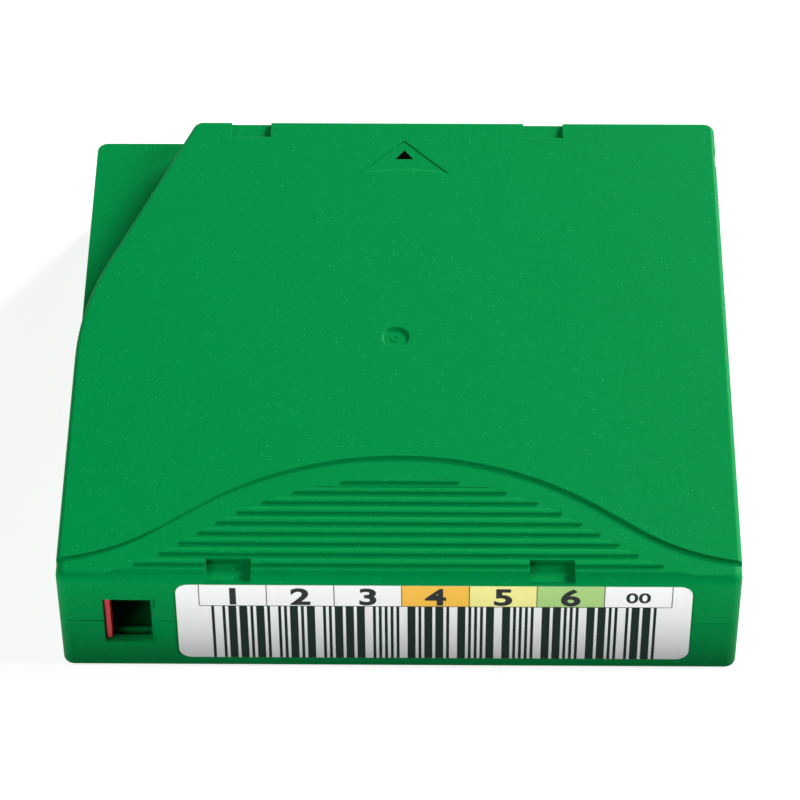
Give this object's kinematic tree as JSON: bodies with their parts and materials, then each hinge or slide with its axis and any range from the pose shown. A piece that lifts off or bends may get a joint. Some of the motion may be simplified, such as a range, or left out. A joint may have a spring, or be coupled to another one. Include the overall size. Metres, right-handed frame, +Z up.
{
  "type": "data tape cartridge",
  "caption": "Flat half-inch data tape cartridge: two-part green case with ribbed grip, label pocket, write-protect window, sliding side door and a braked reel.",
  "frame": {"origin": "centre of the case's underside", "axes": "+Z up through the thickness, +Y the way the cartridge goes into a drive, +X towards the door side"},
  "size_m": [0.1054, 0.102, 0.0215],
  "materials": {
    "shell_green": "finely textured dark green plastic with small pale flecks",
    "shell_green_lower": "finely textured dark green plastic",
    "screw_steel": "zinc-plated steel",
    "label_paper": "satin coated label film with printed squares and bars",
    "switch_red": "red plastic",
    "door_green": "finely textured dark green plastic",
    "spring_steel": "bright spring wire",
    "hub_grey": "dark grey glass-filled plastic",
    "flange_grey": "pale translucent grey plastic",
    "plate_steel": "stamped magnetic stainless steel",
    "tape_dark": "dark brown magnetic tape",
    "pin_steel": "turned stainless steel",
    "clip_white": "off-white plastic",
    "leaf_steel": "stamped spring steel",
    "brake_black": "black plastic",
    "pad_white": "off-white low-friction plastic",
    "board_green": "green circuit board with a loop aerial",
    "chip_black": "black moulded chip"
  },
  "bodies": {
    "case": {"upper_shell": "shell_green", "lower_shell": "shell_green_lower", "case_screws": "screw_steel", "barcode_label": "label_paper", "door_spring": "spring_steel", "brake_spring": "spring_steel", "tape_lead": "tape_dark", "leader_pin": "pin_steel", "leader_pin_clip": "clip_white", "pin_retaining_spring": "leaf_steel", "memory_board": "board_green", "memory_chip": "chip_black"},
    "door": {"sliding_door": "door_green"},
    "switch": {"write_protect_switch": "switch_red"},
    "reel": {"reel_hub": "hub_grey", "reel_upper_flange": "flange_grey", "reel_chuck_plate": "plate_steel", "tape_pack": "tape_dark"},
    "brake": {"brake_button": "brake_black"},
    "pad": {"brake_release_pad": "pad_white"}
  },
  "joints": [
    {"name": "door_slide", "type": "slide", "parent": "case", "child": "door", "axis": [0, -1, 0], "range_m": [0, 0.016], "stiffness_N_per_m": 30, "springref_m": -0.01, "deforming": ["door_spring"]},
    {"name": "write_protect_slide", "type": "slide", "parent": "case", "child": "switch", "axis": [1, 0, 0], "range_m": [0, 0.0061]},
    {"name": "reel_spin", "type": "hinge", "parent": "case", "child": "reel", "pos_m": [-0.001, 0, 0], "axis": [0, 0, 1], "continuous": true},
    {"name": "brake_lift", "type": "slide", "parent": "case", "child": "brake", "axis": [0, 0, 1], "range_m": [0, 0.0013], "stiffness_N_per_m": 400, "springref_m": -0.006, "deforming": ["brake_spring"]},
    {"name": "pad_lift", "type": "slide", "parent": "reel", "child": "pad", "axis": [0, 0, 1], "range_m": [0, 0.0013]}
  ],
  "couplings": [
    {"joint": "pad_lift", "follows": "brake_lift", "ratio": 1}
  ]
}
